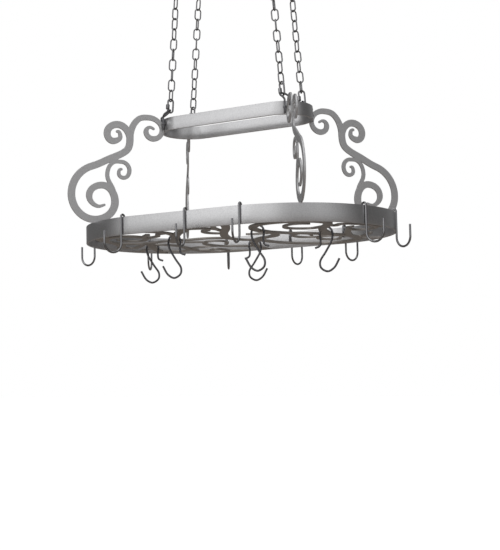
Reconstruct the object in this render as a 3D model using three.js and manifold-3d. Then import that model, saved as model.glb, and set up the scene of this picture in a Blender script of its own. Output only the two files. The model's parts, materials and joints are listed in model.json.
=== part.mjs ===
// Hanging pot rack: two oval bands joined by four scroll arms, a scrollwork grille in the lower band,
// four chains, and loose hooks on the band and on the grille.
// Millimetres, +Z up, X along the oval, front at -Y. Heights are counted from the lower band's bottom
// edge, and the whole rack is then lowered, so that the origin is where the chains hang from.
import * as THREE from 'three';
import { mergeVertices } from 'three/addons/utils/BufferGeometryUtils.js';
import Module from 'manifold-3d';

const wasm = await Module();
wasm.setup();

// ---- driving dimensions ----
const GAP = 0.3; // left between pieces that touch
const STRAIGHT = 305; // straight run of both ovals, end centre to end centre
const BAND = 5.5; // thickness of both bands
const LOWER_R = 305; // outer radius of the lower band's ends
const LOWER_H = 48.4;
const UPPER_R = 82.8;
const UPPER_H = 37.3;
const UPPER_Z = 322.3; // bottom edge of the upper band
const UPPER_STEPS = 8;
const PLATE = 5; // thickness of the arms and the grille
const ARM_ANGLE = 55; // degrees from the X axis, about the end centre
const ARM_STEP = 28; // degrees of bend to a facet of a scroll
const LOWER_STEPS = 13; // facets round a quarter of the lower band's ends

const EYE_WIRE = 5.5;
const EYE_LEG_OUT = 5.4; // leg centre to the upper band's outer face
const EYE_LEG_SIDE = 7.3; // leg centre to the arm's middle plane
const EYE_LEG_FOOT = 325; // height of the legs' lower ends
const EYE_HALF_WIDTH = 13;
const EYE_RISE = 30; // length of the bow, up its slope
const EYE_LEAN = 50; // degrees from the vertical, towards the middle of the rack
const EYE_TURN = 30; // degrees from the X axis, the way the eye leans
const NUT_FLATS = 8.6;
const NUT_H = 5;
const NUT_Z = 340;

const LINK_WIRE = 5; // quick link
const LINK_LENGTH = 44;
const LINK_WIDTH = 22;
const LINK_SLACK = 1.8; // between a quick link and what it holds, whose rods cross aslant
const MOUTH = 6; // gap in the quick link's leg, closed by the sleeve
const MOUTH_Z = -6; // middle of the gap, from the link's middle
const SLEEVE_LENGTH = 14;
const SLEEVE_FLATS = 9.4;
const SLEEVE_Z = -3.5; // middle of the closed sleeve, from the link's middle

const CHAIN_WIRE = 4;
const CHAIN_PITCH = 30;
const CHAIN_WIDTH = 22;
const CHAIN_LINKS = 11;
const CHAIN_WELD = 0.9; // how far neighbouring links sink into each other where they bear
const CHAIN_LEAN = 0.08; // sideways run towards the middle per height

const HOOK_WIRE = 5.8;
const HOOK_SLACK = 0.8; // between rod and band
const HOOK_INSIDE = 30; // leg inside the band
const HOOK_DROP = 97; // band's top edge to the bottom of the U
const HOOK_REACH = 52; // shank to free leg
const HOOK_FREE = 57; // free leg's height over the bottom of the U
const FACING = 29.1; // degrees from the X axis, the plane that the S-hooks hang in

const HANG_Z = 742; // where the chains' last links are carried
const SILVER = { color: 0xb4b4b6, roughness: 0.42, metalness: 0.85 };
const ARM_SILVER = { color: 0x939394, roughness: 0.5, metalness: 0.7 };
const GRILLE_GREY = { color: 0x8a857e, roughness: 0.55, metalness: 0.6 };
const DARK_STEEL = { color: 0x4d4d50, roughness: 0.35, metalness: 0.9 };
const BRIGHT_STEEL = { color: 0x9a9a9c, roughness: 0.3, metalness: 0.95 };

const DEG = Math.PI / 180;
const group = new THREE.Group();
const rack = new THREE.Group();
rack.position.z = -HANG_Z;
group.add(rack);

// ---- helpers ----
function toSolid(geometry) {
  const plain = geometry.clone();
  plain.deleteAttribute('normal');
  plain.deleteAttribute('uv');
  const merged = mergeVertices(plain, 1e-4);
  const vertProperties = new Float32Array(merged.attributes.position.array);
  const triVerts = new Uint32Array(merged.index.array);
  return new wasm.Manifold(new wasm.Mesh({ numProp: 3, vertProperties, triVerts }));
}

function toGeometry(solid) {
  const mesh = solid.getMesh();
  const geometry = new THREE.BufferGeometry();
  geometry.setAttribute('position', new THREE.BufferAttribute(mesh.vertProperties, 3));
  geometry.setIndex(new THREE.BufferAttribute(mesh.triVerts, 1));
  return geometry;
}

function union(solids) {
  return solids.reduce((whole, next) => whole.add(next));
}

function add(name, geometry, look, parent = rack) {
  const mesh = new THREE.Mesh(geometry, new THREE.MeshStandardMaterial(look));
  mesh.name = name;
  parent.add(mesh);
  return mesh;
}

// An oval with half-round ends, as a closed outline.
function oval(radius, path = new THREE.Shape()) {
  path.absarc(STRAIGHT / 2, 0, radius, -90 * DEG, 90 * DEG, false);
  path.absarc(-STRAIGHT / 2, 0, radius, 90 * DEG, 270 * DEG, false);
  path.closePath();
  return path;
}

// A path through given stations, so that bends get short steps and straight runs long ones.
class Stations extends THREE.Curve {
  constructor(points, closed = false) {
    super();
    this.points = points;
    this.closed = closed;
    this.steps = closed ? points.length : points.length - 1;
  }

  at(i) {
    const n = this.points.length;
    return this.points[this.closed ? (i + n) % n : THREE.MathUtils.clamp(i, 0, n - 1)];
  }

  getPointAt(u, target = new THREE.Vector3()) {
    return target.copy(this.at(Math.round(u * this.steps)));
  }

  getTangentAt(u, target = new THREE.Vector3()) {
    const i = Math.round(u * this.steps);
    const before = this.at(i).clone().sub(this.at(i - 1)).normalize();
    const after = this.at(i + 1).clone().sub(this.at(i)).normalize();
    return target.copy(before).add(after).normalize();
  }
}

function disc(radius, sides) {
  const points = [];
  for (let i = 0; i < sides; i += 1) {
    const angle = ((i + 0.5) / sides) * 2 * Math.PI;
    points.push(new THREE.Vector2(radius * Math.cos(angle), radius * Math.sin(angle)));
  }
  return new THREE.Shape(points);
}

function rod(points, diameter, sides = 5) {
  const extrudePath = new Stations(points);
  return new THREE.ExtrudeGeometry(disc(diameter / 2, sides), { steps: extrudePath.steps, extrudePath });
}

function ring(points, diameter, sides = 4) {
  const path = new Stations(points, true);
  return new THREE.TubeGeometry(path, path.steps, diameter / 2, sides, true);
}

// A hexagonal tube round a rod: a nut or a sleeve. A flat faces +X.
function hexTube(flats, bore, height) {
  const outline = disc(flats / Math.sqrt(3), 6);
  const hole = disc((bore / 2 + GAP) / Math.cos(Math.PI / 8), 8);
  outline.holes.push(new THREE.Path(hole.getPoints()));
  return new THREE.ExtrudeGeometry(outline, { depth: height, bevelEnabled: false });
}

// Stations round an upright oval link in the XZ plane, from a point of its left leg.
function linkStations(length, width, wire, steps, start = 0) {
  const radius = (width - wire) / 2;
  const half = (length - wire) / 2 - radius;
  const points = [];
  if (start) points.push(new THREE.Vector3(-radius, 0, start));
  for (const [centre, first] of [[half, 180], [-half, 0]]) {
    for (let i = 0; i <= steps; i += 1) {
      const angle = (first - (180 * i) / steps) * DEG;
      points.push(new THREE.Vector3(radius * Math.cos(angle), 0, centre + radius * Math.sin(angle)));
    }
  }
  return points;
}

// ---- flat-cut scrollwork: strokes with their own width, cut from plate ----
function strokeShape(samples) {
  const left = [];
  const right = [];
  samples.forEach((here, i) => {
    const before = samples[Math.max(i - 1, 0)];
    const after = samples[Math.min(i + 1, samples.length - 1)];
    const along = new THREE.Vector2(after.x - before.x, after.y - before.y).normalize();
    const side = new THREE.Vector2(-along.y, along.x).multiplyScalar(here.z / 2);
    left.push(new THREE.Vector2(here.x, here.y).add(side));
    right.unshift(new THREE.Vector2(here.x, here.y).sub(side));
  });
  return new THREE.Shape([...left, ...cap(left.at(-1), right[0]), ...right, ...cap(right.at(-1), left[0])]);
}

// Two points that round off a stroke's end.
function cap(from, to) {
  const middle = from.clone().add(to).multiplyScalar(0.5);
  const arm = from.clone().sub(middle);
  return [-60, -120].map((angle) => arm.clone().rotateAround(new THREE.Vector2(), angle * DEG).add(middle));
}

function plateFrom(strokes) {
  const options = { depth: PLATE, bevelEnabled: false };
  return union(strokes.map((samples) => toSolid(new THREE.ExtrudeGeometry(strokeShape(samples), options))));
}

// A stroke through [x, y, heading, width] knots: each span is a curve that leaves and arrives at the headings.
function headed(knots) {
  const samples = [];
  for (let i = 0; i < knots.length - 1; i += 1) {
    const [x0, y0, a0, w0] = knots[i];
    const [x1, y1, a1, w1] = knots[i + 1];
    const bend = Math.abs(a1 - a0) * DEG;
    const reach = Math.hypot(x1 - x0, y1 - y0) / (3 * Math.cos(bend / 4) ** 2);
    const curve = new THREE.CubicBezierCurve3(
      new THREE.Vector3(x0, y0, w0),
      new THREE.Vector3(x0 + reach * Math.cos(a0 * DEG), y0 + reach * Math.sin(a0 * DEG), w0 + (w1 - w0) / 3),
      new THREE.Vector3(x1 - reach * Math.cos(a1 * DEG), y1 - reach * Math.sin(a1 * DEG), w1 - (w1 - w0) / 3),
      new THREE.Vector3(x1, y1, w1),
    );
    const points = curve.getPoints(Math.max(2, Math.round(bend / (ARM_STEP * DEG))));
    samples.push(...(i ? points.slice(1) : points));
  }
  return samples;
}

// A stroke through [x, y] knots with a width that runs from one value to another.
function smooth(knots, width, endWidth = width) {
  const points = knots.map(([x, y], i) => {
    const share = i / (knots.length - 1);
    return new THREE.Vector3(x, y, width + (endWidth - width) * share);
  });
  return new THREE.CatmullRomCurve3(points, false, 'centripetal').getPoints(Math.round((knots.length - 1) * 1.2));
}

// ---- bands ----
function band(name, radius, height, z, curveSegments) {
  const outline = oval(radius);
  outline.holes.push(oval(radius - BAND, new THREE.Path()));
  const options = { depth: height, bevelEnabled: false, curveSegments };
  add(name, new THREE.ExtrudeGeometry(outline, options), SILVER).position.z = z;
}
band('lower_band', LOWER_R, LOWER_H, 0, LOWER_STEPS);
band('upper_band', UPPER_R, UPPER_H, UPPER_Z, UPPER_STEPS);

// ---- scroll arms: drawn in the plane that runs out from the end centre, with height as y ----
const ARM_STROKES = [
  // from the inner spiral round the big loop, over the lower band, and up the long S
  [[267, 101, -20, 7], [287, 97, 15, 10], [310.5, 125, 90, 18], [272, 157, 180, 19], [235, 112, 270, 22],
    [296, 59, 360, 20.4], [361.5, 128, 450, 21], [300, 210, 522, 20], [250, 233, 515, 20],
    [200, 259, 500, 20], [188, 300, 450, 21]],
  // the right-hand spiral at the top
  [[188, 290, 90, 20], [224.5, 333, 0, 20], [256, 305, -90, 20], [236, 285, -190, 18], [217, 300, -270, 12],
    [226, 313, -375, 8]],
  // the arch and the left-hand spiral, whose back lies on the upper band
  [[188, 290, 90, 20], [163, 352, 140, 17], [130, 360, 180, 16], [90, 326, 270, 13.6], [118, 299, 360, 16],
    [139, 318, 450, 15], [125, 332, 545, 8], [116, 328, 570, 7]],
  // the thin stroke from the loop up under the S, curling left
  [[238, 140, 80, 12], [257, 185, 90, 11.5], [232, 226, 165, 11], [214, 226.5, 180, 11], [191, 203, 270, 12],
    [209, 181, 360, 11], [223, 193, 450, 10], [215, 205, 560, 7]],
];
const armSolid = plateFrom(ARM_STROKES.map(headed));
// Which way each corner lies, and how far its quick link is turned from the S-hooks' plane.
const CORNERS = [
  { name: 'front_left', sx: -1, sy: -1, yaw: 33 },
  { name: 'back_left', sx: -1, sy: 1, yaw: -52 },
  { name: 'front_right', sx: 1, sy: -1, yaw: -50 },
  { name: 'back_right', sx: 1, sy: 1, yaw: 10 },
];

for (const { name, sx, sy } of CORNERS) {
  const geometry = toGeometry(armSolid);
  geometry.translate(0, 0, -PLATE / 2);
  geometry.rotateX(90 * DEG);
  const frame = new THREE.Group();
  frame.position.x = (sx * STRAIGHT) / 2;
  frame.rotation.z = Math.atan2(sy * Math.sin(ARM_ANGLE * DEG), sx * Math.cos(ARM_ANGLE * DEG));
  rack.add(frame);
  add(`scroll_arm_${name}`, geometry, ARM_SILVER, frame);
}

// ---- grille: scrollwork strokes in plan, trimmed to the inside of the lower band ----
const HEAVY = 23;
const MIDDLE = 18;
const THIN = 13;
const GRILLE_STROKES = [
  // right half: the great loop at the front, its inner spiral, and the loop at the back
  smooth([[312, -184], [295, -198], [267, -199], [237, -172], [227, -132], [248, -104], [277, -91], [318, -108]],
    10, 15),
  smooth([[240, 60], [264, 29], [281, -31], [304, -82], [336, -124], [360, -175], [340, -220], [316, -239],
    [280, -253], [240, -257], [199, -246], [164, -210], [144, -162], [140, -117], [157, -74], [181, -31],
    [211, 0], [239, 36], [266, 76], [281, 111], [286, 156], [278, 214], [233, 251], [176, 270], [131, 263],
    [95, 233], [66, 194], [44, 144], [37, 96], [42, 51]], HEAVY),
  smooth([[144, -130], [148, -75], [137, -31], [110, 3], [82, 14], [50, 36], [14, 77], [-22, 134], [-54, 208],
    [-75, 320]], HEAVY),
  smooth([[76, -81], [98, -74], [140, -70]], 10, THIN),
  smooth([[204, 57], [214, 24], [198, -4], [169, 12], [156, 48], [164, 83], [196, 100]], 9, THIN),
  smooth([[253, 144], [223, 189], [201, 183], [185, 156], [195, 119], [216, 98], [280, 106]], 9, 15),
  smooth([[350, -16], [314, 56], [288, 132]], MIDDLE),
  smooth([[340, -130], [350, -106], [372, -122], [391, -120], [409, -98], [428, -69], [432, -26], [411, 12],
    [382, 23], [358, 12], [350, -18], [362, -49], [379, -57]], 14, 9),
  smooth([[422, -30], [446, -18], [470, -10]], THIN),
  smooth([[286, 126], [297, 165], [312, 165], [337, 135], [362, 104]], MIDDLE, 10),
  smooth([[284, 200], [330, 236], [380, 250]], THIN),
  smooth([[176, 262], [188, 290], [206, 320]], THIN),
  // middle
  smooth([[140, -320], [114, -264], [87, -218], [49, -162], [14, -101], [-16, -31]], HEAVY),
  smooth([[104, -325], [98, -304], [74, -256], [64, -216], [56, -172]], 15, 12),
  smooth([[-16, -277], [15, -281], [40, -270], [60, -253], [66, -222]], 16, 11),
  smooth([[40, -138], [18, -152], [6, -174], [8, -202], [22, -224], [39, -223]], 14, 8),
  smooth([[-30, -330], [-8, -272], [-59, -222], [-116, -148], [-188, -44]], HEAVY),
  smooth([[-160, -74], [-119, -68], [-84, -69], [-52, -62], [-10, -34]], MIDDLE),
  smooth([[-16, -40], [-6, 20], [30, 66]], MIDDLE),
  // left half: small and great loops at the front, long scrolls at the back
  smooth([[-188, -44], [-184, -80], [-216, -76], [-266, -72]], MIDDLE),
  smooth([[-114, -150], [-86, -215], [-84, -257], [-98, -289], [-127, -320]], MIDDLE),
  smooth([[-146, -240], [-183, -204], [-207, -159], [-234, -135], [-260, -137], [-276, -164], [-274, -199]],
    14, 9),
  smooth([[-190, -176], [-192, -210], [-200, -237], [-227, -255], [-263, -251], [-297, -224], [-327, -174],
    [-334, -132], [-319, -102], [-296, -75], [-266, -50]], 20),
  smooth([[-88, -240], [-116, -234], [-139, -200], [-160, -188], [-192, -182]], THIN),
  smooth([[-230, -320], [-249, -289], [-281, -266], [-309, -240], [-326, -200]], HEAVY, MIDDLE),
  smooth([[-300, -40], [-332, -11], [-369, 12], [-384, -6], [-363, -50], [-332, -90]], 14),
  smooth([[-262, -62], [-304, 19], [-338, 86], [-372, 170], [-390, 220]], HEAVY),
  smooth([[-400, -20], [-376, -46], [-352, -94], [-332, -146]], 14),
  smooth([[-282, -20], [-254, -11], [-242, 18], [-234, 48], [-238, 86], [-251, 141], [-257, 194], [-250, 239],
    [-220, 268], [-186, 270], [-130, 310]], MIDDLE),
  smooth([[-360, 140], [-318, 180], [-290, 178], [-256, 149], [-220, 126], [-184, 119], [-150, 124]], 16, 10),
  smooth([[-60, 190], [-99, 163], [-129, 144], [-145, 101], [-145, 64], [-128, 26], [-104, 5], [-77, 6],
    [-64, 28], [-72, 62], [-95, 92]], 18, 9),
  smooth([[-256, 196], [-216, 207], [-190, 196], [-180, 222], [-187, 264]], THIN, 12),
  smooth([[-450, 110], [-402, 104], [-374, 74], [-340, 62]], THIN),
  smooth([[-188, -48], [-160, -20], [-120, 10]], THIN),
];
const grilleLimit = new THREE.ExtrudeGeometry(oval(LOWER_R - BAND - GAP), {
  depth: 3 * PLATE, bevelEnabled: false, curveSegments: LOWER_STEPS,
}).translate(0, 0, -PLATE);
const grilleSolid = plateFrom(GRILLE_STROKES).intersect(toSolid(grilleLimit));
add('grille', toGeometry(grilleSolid), GRILLE_GREY);

// ---- hanging eyes, nuts, quick links and chains, one set at each arm ----
const up = new THREE.Vector3(0, 0, 1);

for (const { name, sx, sy, yaw } of CORNERS) {
  const mirror = ([x, y, z]) => new THREE.Vector3(sx * x, sy * y, z);
  const armCos = Math.cos(ARM_ANGLE * DEG);
  const armSin = Math.sin(ARM_ANGLE * DEG);
  const legR = UPPER_R + EYE_LEG_OUT;
  const leg = (t, z) => mirror([STRAIGHT / 2 + legR * armCos - t * armSin, legR * armSin + t * armCos, z]);
  const eyeBase = UPPER_Z + UPPER_H + 5.5;
  const leanSin = Math.sin(EYE_LEAN * DEG);
  const leanCos = Math.cos(EYE_LEAN * DEG);
  const turnCos = Math.cos(EYE_TURN * DEG);
  const turnSin = Math.sin(EYE_TURN * DEG);
  const eye = (t, s) => mirror([
    STRAIGHT / 2 + legR * armCos - t * turnSin - s * leanSin * turnCos,
    legR * armSin + t * turnCos - s * leanSin * turnSin,
    eyeBase + s * leanCos,
  ]);
  const w = EYE_HALF_WIDTH;
  const bow = new THREE.CatmullRomCurve3([
    leg(-EYE_LEG_SIDE, eyeBase - 10), leg(-EYE_LEG_SIDE, eyeBase - 2), eye(-w * 0.8, 7), eye(-w, 17),
    eye(-w * 0.7, EYE_RISE - 4), eye(0, EYE_RISE), eye(w * 0.7, EYE_RISE - 4), eye(w, 17),
    eye(w * 0.8, 7), leg(EYE_LEG_SIDE, eyeBase - 2), leg(EYE_LEG_SIDE, eyeBase - 10),
  ], false, 'centripetal').getPoints(14);
  add(`hanging_eye_${name}`, rod([leg(-EYE_LEG_SIDE, EYE_LEG_FOOT), ...bow, leg(EYE_LEG_SIDE, EYE_LEG_FOOT)],
    EYE_WIRE), DARK_STEEL);

  for (const [nutName, t] of [['inner', -EYE_LEG_SIDE], ['outer', EYE_LEG_SIDE]]) {
    const nut = add(`eye_nut_${nutName}_${name}`, hexTube(NUT_FLATS, EYE_WIRE, NUT_H), DARK_STEEL);
    nut.position.copy(leg(t, NUT_Z));
    nut.rotation.z = Math.atan2(sy * armSin, sx * armCos) + 90 * DEG;
  }

  // The chain's own frame: its foot under the eye's top, its line leaning towards the middle.
  const line = new THREE.Vector3(-sx * CHAIN_LEAN, 0, 1).normalize();
  const chain = new THREE.Group();
  chain.position.copy(eye(0, EYE_RISE));
  chain.quaternion.setFromUnitVectors(up, line);
  rack.add(chain);

  const quick = new THREE.Group();
  const bottom = -(EYE_WIRE + LINK_WIRE) / 2 - LINK_SLACK; // middle of the link's lower bend
  quick.position.z = bottom + (LINK_LENGTH - LINK_WIRE) / 2;
  quick.rotation.z = (FACING + yaw) * DEG;
  chain.add(quick);
  const stations = linkStations(LINK_LENGTH, LINK_WIDTH, LINK_WIRE, 5);
  const legX = -(LINK_WIDTH - LINK_WIRE) / 2;
  const link = [new THREE.Vector3(legX, 0, MOUTH_Z + MOUTH / 2), ...stations,
    new THREE.Vector3(legX, 0, MOUTH_Z - MOUTH / 2)];
  add(`quick_link_${name}`, rod(link, LINK_WIRE), BRIGHT_STEEL, quick);

  const sleeve = add(`sleeve_${name}`, hexTube(SLEEVE_FLATS, LINK_WIRE, SLEEVE_LENGTH), BRIGHT_STEEL, quick);
  sleeve.position.set(legX, 0, SLEEVE_Z - SLEEVE_LENGTH / 2);

  const chainInner = CHAIN_PITCH + CHAIN_WIRE - CHAIN_WELD; // a link's middle line, end to end
  const chainLink = linkStations(chainInner + CHAIN_WIRE, CHAIN_WIDTH, CHAIN_WIRE, 3);
  const first = quick.position.z + (LINK_LENGTH - LINK_WIRE) / 2 - (LINK_WIRE + CHAIN_WIRE) / 2 - LINK_SLACK;
  const links = [];
  for (let i = 0; i < CHAIN_LINKS; i += 1) {
    const geometry = ring(chainLink, CHAIN_WIRE);
    geometry.rotateZ((FACING + yaw + 90 * (i + 1)) * DEG);
    geometry.translate(0, 0, first + chainInner / 2 + i * CHAIN_PITCH);
    links.push(toSolid(geometry));
  }
  add(`chain_${name}`, toGeometry(union(links)), BRIGHT_STEEL, chain);
}

// ---- band hooks: over the lower band's top edge, down its outside, and out into a U ----
// Each is at a point of the band, given by its X on the straight runs or by its angle about an end centre.
// Each stands a little askew, by its own turn in degrees.
const BAND_HOOKS = [
  { name: 'front_1', end: -1, angle: 193, turn: -20 },
  { name: 'front_2', end: -1, angle: -96, turn: -17 },
  { name: 'front_3', end: 0, along: 16, angle: -90, turn: 9 },
  { name: 'front_4', end: 1, angle: -85, turn: 5 },
  { name: 'front_5', end: 1, angle: -21, turn: 11 },
  { name: 'end_right', end: 1, angle: 11, turn: -36 },
  { name: 'back_1', end: 1, angle: 82, turn: -10 },
  { name: 'back_2', end: 0, along: 13, angle: 90, turn: -10 },
  { name: 'back_3', end: -1, angle: 101, turn: 16 },
  { name: 'end_left', end: -1, angle: 149, turn: -36 },
];
const hookSide = BAND / 2 + HOOK_SLACK + HOOK_WIRE / 2; // rod's middle to the band's middle
const hookBend = HOOK_REACH / 2;

function bandHook(turn) {
  const points = [new THREE.Vector3(-hookSide, 0, LOWER_H - HOOK_INSIDE)];
  for (let angle = 180; angle >= 0; angle -= 45) {
    points.push(new THREE.Vector3(hookSide * Math.cos(angle * DEG), 0,
      LOWER_H + hookSide * Math.sin(angle * DEG)));
  }
  const askew = (reach, z) => new THREE.Vector3(hookSide + reach * Math.cos(turn * DEG),
    reach * Math.sin(turn * DEG), z);
  for (let angle = 180; angle <= 360; angle += 30) {
    points.push(askew(hookBend + hookBend * Math.cos(angle * DEG),
      LOWER_H - HOOK_DROP + hookBend + hookBend * Math.sin(angle * DEG)));
  }
  points.push(askew(HOOK_REACH, LOWER_H - HOOK_DROP + HOOK_FREE));
  return rod(points, HOOK_WIRE);
}

for (const { name, end, along = 0, angle, turn } of BAND_HOOKS) {
  const middle = LOWER_R - BAND / 2;
  const frame = new THREE.Group();
  frame.position.x = along + (end * STRAIGHT) / 2 + middle * Math.cos(angle * DEG);
  frame.position.y = middle * Math.sin(angle * DEG);
  frame.rotation.z = angle * DEG;
  rack.add(frame);
  add(`band_hook_${name}`, bandHook(turn), DARK_STEEL, frame);
}

// ---- S-hooks: an arch over a grille bar, a slanting shank, and a wide U ----
const S_ARCH = 17.5; // radius of the arch
const S_CENTRE = -0.8; // height of the arch's centre, so that the arch bears on the bar's upper edges
const sPoints = new THREE.CatmullRomCurve3([
  [31, -41], [18, -35], [15.5, -19], [S_ARCH, S_CENTRE],
  [S_ARCH * 0.707, S_CENTRE + S_ARCH * 0.707], [0, S_CENTRE + S_ARCH],
  [-S_ARCH * 0.707, S_CENTRE + S_ARCH * 0.707], [-S_ARCH, S_CENTRE], [-15.5, -20], [2, -52], [18, -78],
  [16, -95], [-2, -105.5], [-20, -96], [-35, -71],
].map(([x, z]) => new THREE.Vector3(x, 0, z)), false, 'centripetal').getPoints(16);
const S_HOOKS = [
  { name: '1', x: -302, y: 14, hand: 1, turn: -4 },
  { name: '2', x: -156, y: -91, hand: 1, turn: -12 },
  { name: '3', x: 140, y: -140, hand: 1, turn: -20 },
  { name: '4', x: -30, y: 152, hand: -1, turn: 0 },
  { name: '5', x: 270, y: 10, hand: -1, turn: -12 },
];

for (const { name, x, y, hand, turn } of S_HOOKS) {
  const frame = new THREE.Group();
  frame.position.set(x, y, 0);
  frame.rotation.z = (FACING + turn + (hand > 0 ? 0 : 180)) * DEG;
  rack.add(frame);
  add(`s_hook_${name}`, rod(sPoints, HOOK_WIRE), DARK_STEEL, frame);
}

export default group;
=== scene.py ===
# %% [markdown]
# # A hanging pot rack in satin silver, with scrollwork
# The rack is two oval bands of flat bar, one small above one large, joined by four scroll arms that are
# cut from plate. More scrollwork fills the bottom of the large band. It hangs on four chains, and loose
# hooks stand on its rim and over the bars of the grille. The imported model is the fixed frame: it says where
# every piece is, and this script gives each one its fine shape and its finish. Everything is in metres.

# %% Load the frame
import json
import math

import bpy
from mathutils import Matrix, Vector


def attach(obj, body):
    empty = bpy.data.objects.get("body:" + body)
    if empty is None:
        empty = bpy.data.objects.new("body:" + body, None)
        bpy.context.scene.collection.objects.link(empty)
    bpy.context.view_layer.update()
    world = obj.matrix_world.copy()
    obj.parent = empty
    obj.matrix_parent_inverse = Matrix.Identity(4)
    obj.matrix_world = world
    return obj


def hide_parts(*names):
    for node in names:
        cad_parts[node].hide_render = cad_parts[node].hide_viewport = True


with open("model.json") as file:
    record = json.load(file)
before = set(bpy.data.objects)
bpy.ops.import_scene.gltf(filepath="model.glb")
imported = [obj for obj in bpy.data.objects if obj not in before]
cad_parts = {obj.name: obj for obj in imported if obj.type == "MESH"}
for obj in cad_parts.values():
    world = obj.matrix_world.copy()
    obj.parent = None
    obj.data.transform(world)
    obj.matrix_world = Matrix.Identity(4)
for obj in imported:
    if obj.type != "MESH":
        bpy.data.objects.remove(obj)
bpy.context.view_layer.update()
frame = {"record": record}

MM = 0.001
HANG_Z = 0.742  # the origin is where the chains hang from, this far above the large band's bottom edge

# %% [markdown]
# ## The camera
# The camera stands in front, to the right of the rack and a little below it, far off with a long lens. Its
# turn is worked out from three angles in radians. Blender's camera looks along its own -Z axis, so the
# columns of its rotation are the view's right, the view's up and the way back.

# %% Camera
VIEW_TURN = 0.5082
VIEW_RISE = 0.0789
VIEW_ROLL = -0.0212
CAMERA_AT = Vector((1.54793, -2.71489, -0.34846 - HANG_Z))
LENS = 79.81  # millimetres, for a sensor 36 mm wide

forward = Vector((
    -math.sin(VIEW_TURN) * math.cos(VIEW_RISE),
    math.cos(VIEW_TURN) * math.cos(VIEW_RISE),
    math.sin(VIEW_RISE),
))
level_right = Vector((math.cos(VIEW_TURN), math.sin(VIEW_TURN), 0))
level_up = level_right.cross(forward)
view_right = math.cos(VIEW_ROLL) * level_right + math.sin(VIEW_ROLL) * level_up
view_up = -math.sin(VIEW_ROLL) * level_right + math.cos(VIEW_ROLL) * level_up
camera_turn = Matrix((view_right, view_up, -forward)).transposed()
camera = bpy.data.objects.new("camera", bpy.data.cameras.new("camera"))
bpy.context.collection.objects.link(camera)
camera.data.sensor_fit = "HORIZONTAL"
camera.data.sensor_width = 36
camera.data.lens = LENS
camera.matrix_world = Matrix.Translation(CAMERA_AT) @ camera_turn.to_4x4()
bpy.context.scene.camera = camera

# %% [markdown]
# ## Shader maths as plain expressions
# A material is a net of nodes, and sums on its values read best as sums. This small class holds a socket
# and adds a Math node for each operator, so `1 - mask * 0.3` builds the nodes that it says. Sockets are
# called by their names. Only where a node has several of one name are they called by number.


# %% A socket that can be added and multiplied
class Net:
    """The nodes of one material or of the world, and the sockets that they give."""

    def __init__(self, owner, shader="Principled BSDF"):
        self.owner = owner
        owner.use_nodes = True
        self.tree = owner.node_tree
        self.shader = self.tree.nodes[shader]

    def node(self, kind, settings=None, output=0, **inputs):
        """A new node, set first and then fed. An input goes by its name, or by its number as i0 or i6."""
        made = self.tree.nodes.new(kind)
        for key, value in (settings or {}).items():
            if key == "stops":
                self.stops(made.color_ramp.elements, value)
            else:
                setattr(made, key, value)
        for key, value in inputs.items():
            number = key[1:]
            name = int(number) if number.isdigit() else key.replace("_", " ")
            self.put(made.inputs[name], value)
        return Socket(self, made.outputs[output])

    def stops(self, elements, stops):
        """Sets a ramp's stops from (place, grey) pairs in their order."""
        elements[0].position, elements[1].position = stops[0][0], stops[-1][0]
        for place, _ in stops[1:-1]:
            elements.new(place)
        for element, (_, grey) in zip(elements, stops):
            element.color = (grey, grey, grey, 1)

    def put(self, socket, value):
        if isinstance(value, Socket):
            self.tree.links.new(value.socket, socket)
        else:
            socket.default_value = value

    def finish(self, **inputs):
        for key, value in inputs.items():
            self.put(self.shader.inputs[key.replace("_", " ")], value)
        return self.owner


class Socket:
    """A value in a net, with the operators of a number."""

    def __init__(self, net, socket):
        self.net = net
        self.socket = socket

    def maths(self, operation, first, second):
        return self.net.node("ShaderNodeMath", {"operation": operation}, i0=first, i1=second)

    def __add__(self, other):
        return self.maths("ADD", self, other)

    def __mul__(self, other):
        return self.maths("MULTIPLY", self, other)

    def __sub__(self, other):
        return self.maths("SUBTRACT", self, other)

    def __rsub__(self, other):
        return self.maths("SUBTRACT", other, self)

    __radd__ = __add__
    __rmul__ = __mul__


def noise(net, scale, detail=3.0, stretch=(1, 1, 1)):
    """Noise on the piece's own coordinates, `scale` grains to the metre, from 0 to 1."""
    place = net.node("ShaderNodeTexCoord", output="Object")
    turned = net.node("ShaderNodeMapping", Vector=place, Scale=stretch)
    return net.node("ShaderNodeTexNoise", Vector=turned, Scale=scale, Detail=detail)


def mixed(net, share, first, second):
    """A colour between two colours."""
    return net.node("ShaderNodeMix", {"data_type": "RGBA"}, 2, i0=share, i6=first, i7=second)


# %% [markdown]
# ## The finishes
# The bands, arms and grille have a silver paint with flakes in it, so it shines as a metal does and looks
# grainy close by. One noise of about 3 mm gives the grain, as colour and as bump, and a slow one makes the
# colour and the gloss wander. The grille's paint is darker and warmer, a painted shade for the brownish
# shade it lies in. Rod is polished steel, painted lighter on the hooks over the rim and darker on those over
# the bars, as lit and shaded copies of one steel, and links and chains are zinc plated and a little mottled.

# %% Silver paint
GRAINS = 330  # to the metre, as are the clouds
CLOUDS = 9


def silver_paint(name, light, dark, roughness, metallic):
    net = Net(bpy.data.materials.new(name))
    grain = noise(net, GRAINS, 2.0)
    cloud = noise(net, CLOUDS)
    colour = mixed(net, cloud * 0.5 + (grain * 1.6 - 0.55), (*dark, 1), (*light, 1))
    gloss = cloud * 0.12 + (roughness - 0.06)
    bumps = net.node("ShaderNodeBump", Strength=0.12, Distance=0.0004, Height=grain)
    return net.finish(Base_Color=colour, Metallic=metallic, Roughness=gloss, Normal=bumps)


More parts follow.
